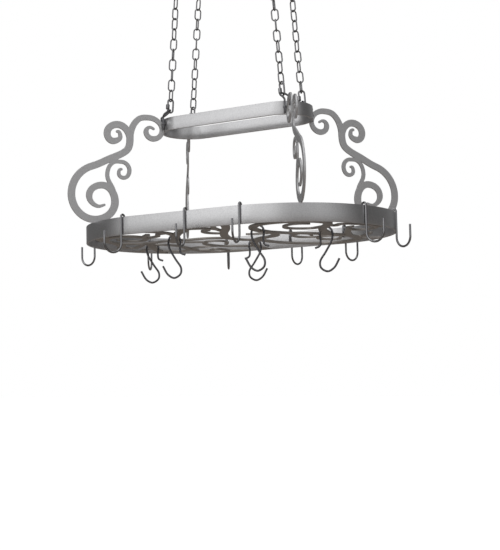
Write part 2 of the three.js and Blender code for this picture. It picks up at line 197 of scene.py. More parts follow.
BAND_PAINT = silver_paint("band_paint", (0.76, 0.76, 0.77), (0.60, 0.60, 0.61), 0.30, 0.9)
ARM_PAINT = silver_paint("arm_paint", (0.78, 0.78, 0.79), (0.66, 0.66, 0.67), 0.42, 0.85)
# The grille's colour is darker and warmer than the bands': painted shade for the brown shade it lies in.
GRILLE_SHADED_PAINT = silver_paint("grille_shaded_paint", (0.54, 0.51, 0.48), (0.42, 0.395, 0.37), 0.42, 0.85)

# %% Rod and chain
STREAKS = 240  # to the metre across a rod, and fewer along its height
STREAK_STRETCH = (1, 1, 0.12)


def drawn_rod(name, light, dark, roughness, mottle):
    net = Net(bpy.data.materials.new(name))
    streaks = noise(net, STREAKS, stretch=STREAK_STRETCH)
    spots = noise(net, mottle, 4.0)
    colour = mixed(net, spots * 0.7 + streaks * 0.3, (*dark, 1), (*light, 1))
    gloss = spots * 0.14 + (roughness - 0.07)
    bumps = net.node("ShaderNodeBump", Strength=0.12, Distance=0.0002, Height=streaks)
    return net.finish(Base_Color=colour, Metallic=1.0, Roughness=gloss, Normal=bumps)


# One steel in two copies: lighter on the rim hooks as painted light, darker on the S-hooks under the grille
# as painted shade.
RIM_HOOK_LIT_STEEL = drawn_rod("rim_hook_lit_steel", (0.42, 0.42, 0.43), (0.26, 0.26, 0.27), 0.17, 60)
OVER_BAR_SHADED_STEEL = drawn_rod("over_bar_shaded_steel", (0.24, 0.24, 0.25), (0.13, 0.13, 0.14), 0.22, 60)
EYE_STEEL = drawn_rod("eye_steel", (0.24, 0.24, 0.25), (0.15, 0.15, 0.16), 0.32, 60)
LINK_ZINC = drawn_rod("link_zinc", (0.40, 0.40, 0.41), (0.22, 0.22, 0.23), 0.18, 150)

# %% [markdown]
# ## Keeping each piece in its place
# A finished piece has its place in its mesh, with its object at the origin. Each new piece also says which
# body carries it, which node it stands for and which material slot it takes.

# %% Helpers for a finished piece
BODY_OF = {node: body for body, nodes in frame["record"]["behaviour"]["bodies"].items() for node in nodes}
NEARLY_NOTHING = 1e-6


def pick(piece):
    for other in list(bpy.context.selected_objects):
        other.select_set(False)
    piece.select_set(True)
    bpy.context.view_layer.objects.active = piece


def bake_place(piece):
    """Moves the piece's place into its mesh."""
    piece.data.transform(piece.matrix_world)
    piece.matrix_world = Matrix.Identity(4)


def settle(piece, node, material, smooth_under=35):
    """Bakes the piece's place, gives it its finish, and ties it to its node and its body."""
    bake_place(piece)
    pick(piece)
    bpy.ops.object.shade_smooth_by_angle(angle=math.radians(smooth_under))
    piece.name = f"{node}_fine"
    piece.data.materials.clear()
    piece.data.materials.append(material)
    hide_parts(node)
    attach(piece, BODY_OF[node])
    return piece


def copy_of(piece):
    twin = piece.copy()
    twin.data = piece.data.copy()
    bpy.context.collection.objects.link(twin)
    return twin


def stand(place, turn):
    """Where a piece is that stands at a place, turned by an angle about the upright axis."""
    return Matrix.Translation(place) @ Matrix.Rotation(turn, 4, "Z")


# %% Modifiers, applied as soon as they are set
def apply_modifiers(piece):
    pick(piece)
    for modifier in list(piece.modifiers):
        bpy.ops.object.modifier_apply(modifier=modifier.name)


def bevel(piece, width, segments=2, angle=40):
    modifier = piece.modifiers.new("edges", "BEVEL")
    modifier.width = width
    modifier.segments = segments
    modifier.limit_method = "ANGLE"
    modifier.angle_limit = math.radians(angle)
    apply_modifiers(piece)


def boolean(piece, operation, other, solver):
    """Adds a Boolean with another object, or with all the objects of a collection."""
    modifier = piece.modifiers.new(operation.lower(), "BOOLEAN")
    modifier.operation = operation
    modifier.solver = solver
    if isinstance(other, bpy.types.Collection):
        modifier.operand_type = "COLLECTION"
        modifier.collection = other
    else:
        modifier.object = other


def cut_away(piece, cutter):
    """Takes the cutter's shape out of the piece."""
    boolean(piece, "DIFFERENCE", cutter, "EXACT")
    apply_modifiers(piece)
    bpy.data.objects.remove(cutter)


# %% [markdown]
# ## The oval bands
# Each band is flat bar, bent on its flat to an oval and welded shut. The two halves of a circle of edges are
# drawn apart, which gives the oval. Extruding it upwards makes a ribbon, Solidify gives the bar its
# thickness inwards, and a small bevel takes the sharpness off its edges.

# %% Bands
STRAIGHT = 0.305  # an oval's straight side
BAND = 0.0055  # the bar's thickness
BAND_EDGE = 0.0007
LOWER_R = 0.305
LOWER_H = 0.0484
UPPER_R = 0.0828
UPPER_H = 0.0373
UPPER_Z = 0.3223
OVAL_STEPS = 192


def draw_apart(piece, axis, distance):
    """Moves a mesh's two halves apart along an axis, by `distance` each. Its middle stays."""
    for vertex in piece.data.vertices:
        if abs(vertex.co[axis]) > NEARLY_NOTHING:
            vertex.co[axis] += math.copysign(distance, vertex.co[axis])


def band(node, radius, height, z):
    bpy.ops.mesh.primitive_circle_add(vertices=OVAL_STEPS, radius=radius, location=(0, 0, z - HANG_Z))
    piece = bpy.context.active_object
    pick(piece)
    draw_apart(piece, 0, STRAIGHT / 2)
    bpy.ops.object.mode_set(mode="EDIT")
    bpy.ops.mesh.select_all(action="SELECT")
    bpy.ops.mesh.extrude_region_move(TRANSFORM_OT_translate={"value": (0, 0, height)})
    bpy.ops.mesh.select_all(action="SELECT")
    bpy.ops.mesh.normals_make_consistent(inside=False)
    bpy.ops.object.mode_set(mode="OBJECT")
    wall = piece.modifiers.new("bar", "SOLIDIFY")
    wall.thickness = BAND
    wall.offset = -1
    apply_modifiers(piece)
    bevel(piece, BAND_EDGE, segments=3)
    settle(piece, node, BAND_PAINT)
    print(node, "faces", len(piece.data.polygons))


band("lower_band", LOWER_R, LOWER_H, 0)
band("upper_band", UPPER_R, UPPER_H, UPPER_Z)

# %% [markdown]
# ## Flat-cut scrollwork
# The arms and the grille are cut from plate, so each stroke is a flat shape with a width of its own. A
# stroke is drawn down its middle: for the arms as knots with a heading, joined by curves that leave and
# arrive at those headings, and for the grille as knots that a smooth line passes through.

# %% Lines down the middle of a stroke
HEADED_TURN = 6  # degrees of bend between two points of a headed stroke
HEADED_STEPS = 5  # the fewest from knot to knot
SMOOTH_STEPS = 6  # from knot to knot


def headed(knots):
    """Points [x, y, width] down a stroke given by [x, y, heading, width] knots, in millimetres."""
    points = []
    for (x0, y0, a0, w0), (x1, y1, a1, w1) in zip(knots, knots[1:]):
        bend = math.radians(abs(a1 - a0))
        reach = math.hypot(x1 - x0, y1 - y0) / (3 * math.cos(bend / 4) ** 2)
        a0, a1 = math.radians(a0), math.radians(a1)
        start, end = Vector((x0, y0)), Vector((x1, y1))
        leave = start + Vector((math.cos(a0), math.sin(a0))) * reach
        arrive = end - Vector((math.cos(a1), math.sin(a1))) * reach
        steps = max(HEADED_STEPS, round(math.degrees(bend) / HEADED_TURN))
        for i in range(1 if points else 0, steps + 1):
            t = i / steps
            left = 1 - t
            place = start * left ** 3 + leave * 3 * t * left ** 2 + arrive * 3 * t * t * left + end * t ** 3
            points.append((place.x, place.y, w0 + (w1 - w0) * t))
    return points


def through(points, steps):
    """A line that passes smoothly through points, in `steps` steps from each to the next."""
    line = [points[0] * 2 - points[1], *points, points[-1] * 2 - points[-2]]
    out = [points[0]]
    for p0, p1, p2, p3 in zip(line, line[1:], line[2:], line[3:]):
        t0, t1, t2 = ((b - a).length ** 0.5 for a, b in ((p0, p1), (p1, p2), (p2, p3)))
        m1 = ((p1 - p0) / t0 - (p2 - p0) / (t0 + t1) + (p2 - p1) / t1) * t1
        m2 = ((p2 - p1) / t1 - (p3 - p1) / (t1 + t2) + (p3 - p2) / t2) * t1
        for i in range(1, steps + 1):
            t = i / steps
            out.append(p1 * (2 * t ** 3 - 3 * t * t + 1) + m1 * (t ** 3 - 2 * t * t + t)
                       + p2 * (3 * t * t - 2 * t ** 3) + m2 * (t ** 3 - t * t))
    return out


def smooth(knots, width, end_width=None):
    """Points [x, y, width] down a stroke that passes smoothly through [x, y] knots, in millimetres."""
    end_width = width if end_width is None else end_width
    line = through([Vector(knot) for knot in knots], SMOOTH_STEPS)
    return [(*place, width + (end_width - width) * i / (len(line) - 1)) for i, place in enumerate(line)]


# %% [markdown]
# ## From a line to plate
# The two sides of a stroke become a closed 2D curve, which Blender fills, thickens and bevels in one go. A
# long scroll runs over itself, and a Boolean can lose parts of a piece that does. So each stroke is first
# cut into lengths that bend by little more than 60 degrees, and a Boolean joins all the lengths.

# %% Curves made into meshes
def drawn_curve(dimensions, places, closed=False):
    """A curve at the origin that runs straight from place to place."""
    bpy.ops.curve.primitive_bezier_curve_add(location=(0, 0, 0))
    piece = bpy.context.active_object
    piece.data.splines.clear()
    piece.data.dimensions = dimensions
    spline = piece.data.splines.new("POLY")
    spline.points.add(len(places) - 1)
    spline.use_cyclic_u = closed
    for point, place in zip(spline.points, places):
        point.co = (*place, 1)
    return piece


def mesh_of(piece):
    """The mesh of a curve, closed where its parts meet and with its faces outwards."""
    pick(piece)
    bpy.ops.object.convert(target="MESH")
    bpy.ops.object.mode_set(mode="EDIT")
    bpy.ops.mesh.select_all(action="SELECT")
    bpy.ops.mesh.remove_doubles(threshold=NEARLY_NOTHING)
    bpy.ops.mesh.normals_make_consistent(inside=False)
    bpy.ops.object.mode_set(mode="OBJECT")
    return bpy.context.active_object


# %% Plates from strokes
PLATE = 0.005
PLATE_EDGE = 0.0006
LENGTH_BEND = math.radians(60)
END_TURN = 20  # degrees between the points of a stroke's round end


def lengths(points):
    """A stroke cut into lengths that bend a little each, so that none of them crosses itself."""
    cut, bent = [[points[0]]], 0
    for before, here, after in zip(points, points[1:], points[2:]):
        cut[-1].append(here)
        came = Vector(here[:2]) - Vector(before[:2])
        bent += came.angle(Vector(after[:2]) - Vector(here[:2]))
        if bent > LENGTH_BEND:
            cut.append([here])
            bent = 0
    cut[-1].append(points[-1])
    return cut


def round_end(start, end):
    """The points of a half circle from start to end, without these two."""
    middle = (start + end) / 2
    arm = start - middle
    angles = range(END_TURN, 180, END_TURN)
    return [middle + Matrix.Rotation(-math.radians(angle), 2) @ arm for angle in angles]


def stroke_plate(points):
    """A flat piece of plate in the XY plane, from 0 to PLATE high, along one stroke."""
    left, right = [], []
    for i, (x, y, width) in enumerate(points):
        before, after = points[max(i - 1, 0)], points[min(i + 1, len(points) - 1)]
        along = Vector((after[0] - before[0], after[1] - before[1])).normalized()
        side = Vector((-along.y, along.x)) * width / 2
        left.append(Vector((x, y)) + side)
        right.append(Vector((x, y)) - side)
    outline = left + round_end(left[-1], right[-1]) + right[::-1] + round_end(right[0], left[0])
    piece = drawn_curve("2D", [(place.x * MM, place.y * MM, 0) for place in outline], closed=True)
    piece.data.fill_mode = "BOTH"
    piece.data.extrude = PLATE / 2 - PLATE_EDGE
    piece.data.bevel_depth = PLATE_EDGE
    piece.data.bevel_resolution = 1
    piece.data.offset = -PLATE_EDGE
    piece = mesh_of(piece)
    piece.data.transform(Matrix.Translation((0, 0, PLATE / 2)))
    return piece


def join_plates(strokes, limit=None):
    """One plate from all the strokes' lengths, trimmed to `limit` if there is one."""
    whole, *rest = [stroke_plate(part) for points in strokes for part in lengths(points)]
    others = bpy.data.collections.new("strokes")
    for other in rest:
        others.objects.link(other)
    boolean(whole, "UNION", others, "MANIFOLD")
    if limit:
        boolean(whole, "INTERSECT", limit, "MANIFOLD")
        rest.append(limit)
    apply_modifiers(whole)
    for other in rest:
        bpy.data.objects.remove(other)
    bpy.data.collections.remove(others)
    return whole


# %% [markdown]
# ## The scroll arms
# Four alike, each standing on edge in a plane that runs out from an end's centre at 55 degrees. The drawing
# has the distance from that centre as x and the height as y. It is turned upright and then round. A plate is
# smoothed only where it turns by less than 20 degrees, so its flat sides stay flat.

# %% Arms
PLATE_SMOOTH = 20
ARM_ANGLE = math.radians(55)
ARM_STROKES = (
    # from the inner spiral round the big loop, over the large band, and up the long S
    ((267, 101, -20, 7), (287, 97, 15, 10), (310.5, 125, 90, 18), (272, 157, 180, 19), (235, 112, 270, 22),
     (296, 59, 360, 20.4), (361.5, 128, 450, 21), (300, 210, 522, 20), (250, 233, 515, 20),
     (200, 259, 500, 20), (188, 300, 450, 21)),
    # the spiral at the top that curls outwards
    ((188, 290, 90, 20), (224.5, 333, 0, 20), (256, 305, -90, 20), (236, 285, -190, 18),
     (217, 300, -270, 12), (226, 313, -375, 8)),
    # the arch and the spiral whose back lies on the small band
    ((188, 290, 90, 20), (163, 352, 140, 17), (130, 360, 180, 16), (90, 326, 270, 13.6), (118, 299, 360, 16),
     (139, 318, 450, 15), (125, 332, 545, 8), (116, 328, 570, 7)),
    # the thin stroke from the loop up under the S
    ((238, 140, 80, 12), (257, 185, 90, 11.5), (232, 226, 165, 11), (214, 226.5, 180, 11),
     (191, 203, 270, 12), (209, 181, 360, 11), (223, 193, 450, 10), (215, 205, 560, 7)),
)


def arm_turn(sx, sy):
    """Which way the arm of a corner runs, as an angle about the upright axis."""
    return math.atan2(sy * math.sin(ARM_ANGLE), sx * math.cos(ARM_ANGLE))


arm = join_plates([headed(knots) for knots in ARM_STROKES])
arm.data.transform(Matrix.Rotation(math.radians(90), 4, "X") @ Matrix.Translation((0, 0, -PLATE / 2)))
for side, sx in (("left", -1), ("right", 1)):
    for end, sy in (("front", -1), ("back", 1)):
        piece = copy_of(arm)
        piece.matrix_world = stand((sx * STRAIGHT / 2, 0, -HANG_Z), arm_turn(sx, sy))
        settle(piece, f"scroll_arm_{end}_{side}", ARM_PAINT, PLATE_SMOOTH)
print("arm faces", len(arm.data.polygons))
bpy.data.objects.remove(arm)

# %% [markdown]
# ## The grille
# The scrollwork in the large band's bottom lies flat. Its strokes run on past the band in the drawing, and
# a plain oval of the band's inside trims them, as a cutter would. Heavy strokes carry the load, and thin
# ones curl off them.

# %% The grille's drawing
HEAVY = 23
MIDDLE = 18
THIN = 13
GRILLE_STROKES = (
    # right half
    (((312, -184), (295, -198), (267, -199), (237, -172), (227, -132), (248, -104), (277, -91),
      (318, -108)), 10, 15),
    (((240, 60), (264, 29), (281, -31), (304, -82), (336, -124), (360, -175), (340, -220), (316, -239),
      (280, -253), (240, -257), (199, -246), (164, -210), (144, -162), (140, -117), (157, -74), (181, -31),
      (211, 0), (239, 36), (266, 76), (281, 111), (286, 156), (278, 214), (233, 251), (176, 270), (131, 263),
      (95, 233), (66, 194), (44, 144), (37, 96), (42, 51)), HEAVY),
    (((144, -130), (148, -75), (137, -31), (110, 3), (82, 14), (50, 36), (14, 77), (-22, 134), (-54, 208),
      (-75, 320)), HEAVY),
    (((76, -81), (98, -74), (140, -70)), 10, THIN),
    (((204, 57), (214, 24), (198, -4), (169, 12), (156, 48), (164, 83), (196, 100)), 9, THIN),
    (((253, 144), (223, 189), (201, 183), (185, 156), (195, 119), (216, 98), (280, 106)), 9, 15),
    (((350, -16), (314, 56), (288, 132)), MIDDLE),
    (((340, -130), (350, -106), (372, -122), (391, -120), (409, -98), (428, -69), (432, -26), (411, 12),
      (382, 23), (358, 12), (350, -18), (362, -49), (379, -57)), 14, 9),
    (((422, -30), (446, -18), (470, -10)), THIN),
    (((286, 126), (297, 165), (312, 165), (337, 135), (362, 104)), MIDDLE, 10),
    (((284, 200), (330, 236), (380, 250)), THIN),
    (((176, 262), (188, 290), (206, 320)), THIN),
    # middle
    (((140, -320), (114, -264), (87, -218), (49, -162), (14, -101), (-16, -31)), HEAVY),
    (((104, -325), (98, -304), (74, -256), (64, -216), (56, -172)), 15, 12),
    (((-16, -277), (15, -281), (40, -270), (60, -253), (66, -222)), 16, 11),
    (((40, -138), (18, -152), (6, -174), (8, -202), (22, -224), (39, -223)), 14, 8),
    (((-30, -330), (-8, -272), (-59, -222), (-116, -148), (-188, -44)), HEAVY),
    (((-160, -74), (-119, -68), (-84, -69), (-52, -62), (-10, -34)), MIDDLE),
    (((-16, -40), (-6, 20), (30, 66)), MIDDLE),
    # left half
    (((-188, -44), (-184, -80), (-216, -76), (-266, -72)), MIDDLE),
    (((-114, -150), (-86, -215), (-84, -257), (-98, -289), (-127, -320)), MIDDLE),
    (((-146, -240), (-183, -204), (-207, -159), (-234, -135), (-260, -137), (-276, -164),
      (-274, -199)), 14, 9),
    (((-190, -176), (-192, -210), (-200, -237), (-227, -255), (-263, -251), (-297, -224), (-327, -174),
      (-334, -132), (-319, -102), (-296, -75), (-266, -50)), 20),
    (((-88, -240), (-116, -234), (-139, -200), (-160, -188), (-192, -182)), THIN),
    (((-230, -320), (-249, -289), (-281, -266), (-309, -240), (-326, -200)), HEAVY, MIDDLE),
    (((-300, -40), (-332, -11), (-369, 12), (-384, -6), (-363, -50), (-332, -90)), 14),
    (((-262, -62), (-304, 19), (-338, 86), (-372, 170), (-390, 220)), HEAVY),
    (((-400, -20), (-376, -46), (-352, -94), (-332, -146)), 14),
    (((-282, -20), (-254, -11), (-242, 18), (-234, 48), (-238, 86), (-251, 141), (-257, 194), (-250, 239),
      (-220, 268), (-186, 270), (-130, 310)), MIDDLE),
    (((-360, 140), (-318, 180), (-290, 178), (-256, 149), (-220, 126), (-184, 119), (-150, 124)), 16, 10),
    (((-60, 190), (-99, 163), (-129, 144), (-145, 101), (-145, 64), (-128, 26), (-104, 5), (-77, 6),
      (-64, 28), (-72, 62), (-95, 92)), 18, 9),
    (((-256, 196), (-216, 207), (-190, 196), (-180, 222), (-187, 264)), THIN, 12),
    (((-450, 110), (-402, 104), (-374, 74), (-340, 62)), THIN),
    (((-188, -48), (-160, -20), (-120, 10)), THIN),
)

# %% Grille
GRILLE_GAP = 0.0003  # between the grille and the band
INSIDE_R = LOWER_R - BAND - GRILLE_GAP
bpy.ops.mesh.primitive_cylinder_add(vertices=OVAL_STEPS, radius=INSIDE_R, depth=3 * PLATE, location=(0, 0, 0))
inside = bpy.context.active_object
for vertex in inside.data.vertices:
    vertex.co.x += math.copysign(STRAIGHT / 2, vertex.co.x)
grille = join_plates([smooth(*stroke) for stroke in GRILLE_STROKES], inside)
grille.matrix_world = Matrix.Translation((0, 0, -HANG_Z))
settle(grille, "grille", GRILLE_SHADED_PAINT, PLATE_SMOOTH)
print("grille faces", len(grille.data.polygons))

# %% [markdown]
# ## Bent rod
# Hooks and eyes are round rod, bent on a bench. A rod is drawn as a run of places down its middle: a curve
# with a round bevel makes it round, and filled caps close its ends, which get a small bevel of their own.

# %% Rods
ROD_STEPS = 8  # from point to point of a rod that is bent freely
ROD_EDGE = 0.0008
ARC_STEP = 7.5  # degrees


def rod(points, diameter, edge=ROD_EDGE):
    """Round rod down a list of points, in metres, where it is drawn."""
    piece = drawn_curve("3D", points)
    piece.data.bevel_depth = diameter / 2
    piece.data.bevel_resolution = 6
    piece.data.use_fill_caps = True
    piece = mesh_of(piece)
    bevel(piece, edge, angle=60)
    return piece


def arc(centre, radius, start, end, step=ARC_STEP):
    """Points round an arc in the XZ plane, with its angles in degrees."""
    count = max(2, round(abs(end - start) / step))
    angles = [math.radians(start + (end - start) * i / count) for i in range(count + 1)]
    return [Vector((centre[0] + radius * math.cos(a), 0, centre[1] + radius * math.sin(a))) for a in angles]


# %% [markdown]
# ## Band hooks
# Ten of them, alike but for a twist: a leg inside the band, a tight bend over its top edge, a long shank
# down the outside, and a wide U that stands out from the band. The U's don't stand square to the rim, so each
# hook is bent with a twist of its own before it goes to its place.

# %% Band hooks
HOOK_WIRE = 0.0058
HOOK_SLACK = 0.0008
HOOK_INSIDE = 0.030
HOOK_DROP = 0.097
HOOK_REACH = 0.052
HOOK_FREE = 0.057
OVER_TOP_STEP = 15  # degrees
hook_side = BAND / 2 + HOOK_SLACK + HOOK_WIRE / 2
hook_bend = HOOK_REACH / 2
hook_bottom = LOWER_H - HOOK_DROP


def band_hook(degrees):
    """A band hook at the origin, over a band that faces +X. Its U is `degrees` askew."""
    twist = math.radians(degrees)
    askew = Vector((math.cos(twist), math.sin(twist), 0))
    line = [Vector((-hook_side, 0, LOWER_H - HOOK_INSIDE)),
            *arc((0, LOWER_H), hook_side, 180, 0, OVER_TOP_STEP)]
    u_shape = [*arc((hook_bend, hook_bottom + hook_bend), hook_bend, 180, 360),
               Vector((HOOK_REACH, 0, hook_bottom + HOOK_FREE))]
    for place in u_shape:
        line.append(Vector((hook_side, 0, place.z)) + askew * place.x)
    return rod(line, HOOK_WIRE)


# Each hook's name, the X that its angle about the band is measured from, that angle, and its twist.
LEFT, RIGHT = -STRAIGHT / 2, STRAIGHT / 2
BAND_HOOKS = (
    ("front_1", LEFT, 193, -20), ("front_2", LEFT, -96, -17), ("front_3", 0.016, -90, 9),
    ("front_4", RIGHT, -85, 5), ("front_5", RIGHT, -21, 11), ("end_right", RIGHT, 11, -36),
    ("back_1", RIGHT, 82, -10), ("back_2", 0.013, 90, -10), ("back_3", LEFT, 101, 16),
    ("end_left", LEFT, 149, -36),
)
for name, x, degrees, twist in BAND_HOOKS:
    piece = band_hook(twist)
    turn = math.radians(degrees)
    out = Vector((math.cos(turn), math.sin(turn), 0)) * (LOWER_R - BAND / 2)
    piece.matrix_world = stand(Vector((x, 0, -HANG_Z)) + out, turn)
    settle(piece, f"band_hook_{name}", RIM_HOOK_LIT_STEEL)
    print(name, "faces", len(piece.data.polygons))

# %% [markdown]
# ## S-hooks
# These go over the grille's bars: an arch with a short tip leg, a slanting shank, and a wide U with a
# long free leg. The bend is one smooth line through a few points, because the real ones are bent freely.

# %% S-hooks
S_ARCH = 17.5
S_CENTRE = -0.8
S_SIDE = S_ARCH * math.sqrt(0.5)
S_LINE = (
    (31, -41), (18, -35), (15.5, -19), (S_ARCH, S_CENTRE), (S_SIDE, S_CENTRE + S_SIDE),
    (0, S_CENTRE + S_ARCH), (-S_SIDE, S_CENTRE + S_SIDE), (-S_ARCH, S_CENTRE), (-15.5, -20), (2, -52),
    (18, -78), (16, -95), (-2, -105.5), (-20, -96), (-35, -71),
)
FACING = 29.1  # degrees from the X axis, the plane that the S-hooks hang in
# Each hook's x and y in millimetres, its hand, and its own turn in degrees.
S_HOOKS = (
    (-302, 14, 1, -4), (-156, -91, 1, -12), (140, -140, 1, -20), (-30, 152, -1, 0), (270, 10, -1, -12),
)
s_hook = rod(through([Vector((x, 0, z)) * MM for x, z in S_LINE], ROD_STEPS), HOOK_WIRE)
for number, (x, y, hand, turn) in enumerate(S_HOOKS, 1):
    piece = copy_of(s_hook)
    angle = math.radians(FACING + turn + (0 if hand > 0 else 180))
    piece.matrix_world = stand((x * MM, y * MM, -HANG_Z), angle)
    settle(piece, f"s_hook_{number}", OVER_BAR_SHADED_STEEL)
bpy.data.objects.remove(s_hook)

# %% [markdown]
# ## Links
# A link is a torus drawn apart: the half above its middle goes up and the half below goes down,
# which leaves two straight legs between two round ends. Chain links and quick links are made alike. A quick
# link is then cut through one leg, and its sleeve closes the gap.

# %% Links, sleeves and nuts
LINK_STEPS = 48
LINK_SIDES = 14
CUTTER_WIDTH = 0.009
BORE_SLACK = 0.0003
BORE_SIDES = 24


def oval_link(length, width, wire):
    """A closed link that stands in the XZ plane, about its middle."""
    bpy.ops.mesh.primitive_torus_add(
        major_segments=LINK_STEPS, minor_segments=LINK_SIDES, major_radius=(width - wire) / 2,
        minor_radius=wire / 2, rotation=(math.radians(90), 0, 0), location=(0, 0, 0))
    piece = bpy.context.active_object
    bake_place(piece)
    pick(piece)
    bpy.ops.object.mode_set(mode="EDIT")
    bpy.ops.mesh.select_all(action="SELECT")
    bpy.ops.mesh.bisect(plane_co=(0, 0, 0), plane_no=(0, 0, 1))
    bpy.ops.object.mode_set(mode="OBJECT")
    draw_apart(piece, 2, (length - width) / 2)
    return piece


def cut_mouth(piece, x, z, height):
    """Takes a length out of the link's leg at x, about the height z, and closes the two cut ends."""
    bpy.ops.mesh.primitive_cube_add(size=1, location=(x, 0, z), scale=(CUTTER_WIDTH, CUTTER_WIDTH, height))
    cut_away(piece, bpy.context.active_object)


def hex_tube(flats, bore, height, edge):
    """A hexagonal tube that stands on the XY plane: a nut or a sleeve."""
    middle = (0, 0, height / 2)
    bpy.ops.mesh.primitive_cylinder_add(
        vertices=6, radius=flats / math.sqrt(3), depth=height, location=middle)
    piece = bpy.context.active_object
    bpy.ops.mesh.primitive_cylinder_add(
        vertices=BORE_SIDES, radius=bore / 2 + BORE_SLACK, depth=height * 2, location=middle)
    cut_away(piece, bpy.context.active_object)
    bake_place(piece)
    bevel(piece, edge)
    return piece


# %% One of each, to copy
EYE_WIRE = 0.0055
NUT_FLATS = 0.0086
NUT_H = 0.005
NUT_EDGE = 0.0004
LINK_WIRE = 0.005
LINK_LENGTH = 0.044
LINK_WIDTH = 0.022
MOUTH = 0.006
MOUTH_Z = -0.006
SLEEVE_LENGTH = 0.014
SLEEVE_FLATS = 0.0094
SLEEVE_EDGE = 0.0006
CHAIN_WIRE = 0.004
CHAIN_PITCH = 0.030
CHAIN_WIDTH = 0.022
CHAIN_WELD = 0.0009
leg_x = -(LINK_WIDTH - LINK_WIRE) / 2
quick_link = oval_link(LINK_LENGTH, LINK_WIDTH, LINK_WIRE)
cut_mouth(quick_link, leg_x, MOUTH_Z, MOUTH)
sleeve = hex_tube(SLEEVE_FLATS, LINK_WIRE, SLEEVE_LENGTH, SLEEVE_EDGE)
nut = hex_tube(NUT_FLATS, EYE_WIRE, NUT_H, NUT_EDGE)
chain_inner = CHAIN_PITCH + CHAIN_WIRE - CHAIN_WELD
chain_link = oval_link(chain_inner + CHAIN_WIRE, CHAIN_WIDTH, CHAIN_WIRE)
print("link faces", len(chain_link.data.polygons), "sleeve faces", len(sleeve.data.polygons))

# %% [markdown]
# ## The hanging eyes
# Each arm's top has an eye of bent rod on the small band's outside: two legs that straddle the arm, with a
# nut on each, and a round bow that leans in over the band. A corner is worked out once and mirrored by the
# signs of its x and y.

# %% Eyes and their nuts
EYE_BASE = UPPER_Z + UPPER_H + 0.0055
EYE_LEG_OUT = 0.0054  # from the band's outside to the leg's middle
EYE_LEG_SIDE = 0.0073  # from the arm's middle plane to the leg's middle
EYE_FOOT = 0.325
LEG_KNOTS = (EYE_BASE - 0.010, EYE_BASE - 0.002)  # heights at which a leg starts to bend to the bow
EYE_HALF = 0.013
EYE_RISE = 0.030
EYE_BOW = (  # to the side, as a share of EYE_HALF, and up the slope
    (-0.8, 0.007), (-1, 0.017), (-0.7, EYE_RISE - 0.004), (0, EYE_RISE), (0.7, EYE_RISE - 0.004),
    (1, 0.017), (0.8, 0.007),
)
EYE_LEAN = math.radians(50)
EYE_TURN = math.radians(30)
EYE_EDGE = 0.0005
NUT_Z = 0.340
leg_r = UPPER_R + EYE_LEG_OUT


def leg(sx, sy, t, z):
    """A point of an eye's leg, `t` to the side of its arm and `z` above the large band's bottom."""
    x = STRAIGHT / 2 + leg_r * math.cos(ARM_ANGLE) - t * math.sin(ARM_ANGLE)
    y = leg_r * math.sin(ARM_ANGLE) + t * math.cos(ARM_ANGLE)
    return Vector((sx * x, sy * y, z - HANG_Z))


def eye(sx, sy, t, s):
    """A point of an eye's bow, `t` to its side and `s` up its slope."""
    inward = s * math.sin(EYE_LEAN)
    x = STRAIGHT / 2 + leg_r * math.cos(ARM_ANGLE) - t * math.sin(EYE_TURN) - inward * math.cos(EYE_TURN)
    y = leg_r * math.sin(ARM_ANGLE) + t * math.cos(EYE_TURN) - inward * math.sin(EYE_TURN)
    return Vector((sx * x, sy * y, EYE_BASE + s * math.cos(EYE_LEAN) - HANG_Z))


def hanging_eye(name, sx, sy):
    inner, outer = ([leg(sx, sy, t, z) for z in LEG_KNOTS] for t in (-EYE_LEG_SIDE, EYE_LEG_SIDE))
    bow = [eye(sx, sy, share * EYE_HALF, s) for share, s in EYE_BOW]
    line = through([*inner, *bow, *outer[::-1]], ROD_STEPS)
    feet = [leg(sx, sy, t, EYE_FOOT) for t in (-EYE_LEG_SIDE, EYE_LEG_SIDE)]
    piece = rod([feet[0], *line, feet[1]], EYE_WIRE, EYE_EDGE)
    settle(piece, f"hanging_eye_{name}", EYE_STEEL)


def eye_nuts(name, sx, sy):
    for which, t in (("inner", -EYE_LEG_SIDE), ("outer", EYE_LEG_SIDE)):
        piece = copy_of(nut)
        piece.matrix_world = stand(leg(sx, sy, t, NUT_Z), arm_turn(sx, sy) + math.radians(90))
        settle(piece, f"eye_nut_{which}_{name}", EYE_STEEL)


# %% [markdown]
# ## What hangs from the eyes
# A quick link goes through each bow and takes the chain's first link. The chains lean in to the middle as
# they rise. Each next link is turned by a quarter and a few degrees more or less, as a slack chain twists
# on its way up.

# %% Quick links, sleeves and chains
LINK_SLACK = 0.0018
SLEEVE_Z = -0.0035
CHAIN_LINKS = 11
CHAIN_LEAN = 0.08
quick_bottom = -(EYE_WIRE + LINK_WIRE) / 2 - LINK_SLACK
quick_middle = quick_bottom + (LINK_LENGTH - LINK_WIRE) / 2
chain_bottom = quick_middle + (LINK_LENGTH - LINK_WIRE) / 2 - (LINK_WIRE + CHAIN_WIRE) / 2 - LINK_SLACK
chain_first = chain_bottom + chain_inner / 2


def link_and_sleeve(name, foot, face):
    place = foot @ stand((0, 0, quick_middle), face)
    piece = copy_of(quick_link)
    piece.matrix_world = place
    settle(piece, f"quick_link_{name}", LINK_ZINC)
    piece = copy_of(sleeve)
    piece.matrix_world = place @ Matrix.Translation((leg_x, 0, SLEEVE_Z - SLEEVE_LENGTH / 2))
    settle(piece, f"sleeve_{name}", LINK_ZINC)


def chain(name, foot, face, twist):
    links = []
    for i in range(CHAIN_LINKS):
        piece = copy_of(chain_link)
        turn = face + math.radians(90 + (90 + twist) * i)
        piece.data.transform(foot @ stand((0, 0, chain_first + i * CHAIN_PITCH), turn))
        links.append(piece)
    pick(links[0])
    for piece in links:
        piece.select_set(True)
    bpy.ops.object.join()
    settle(links[0], f"chain_{name}", LINK_ZINC)


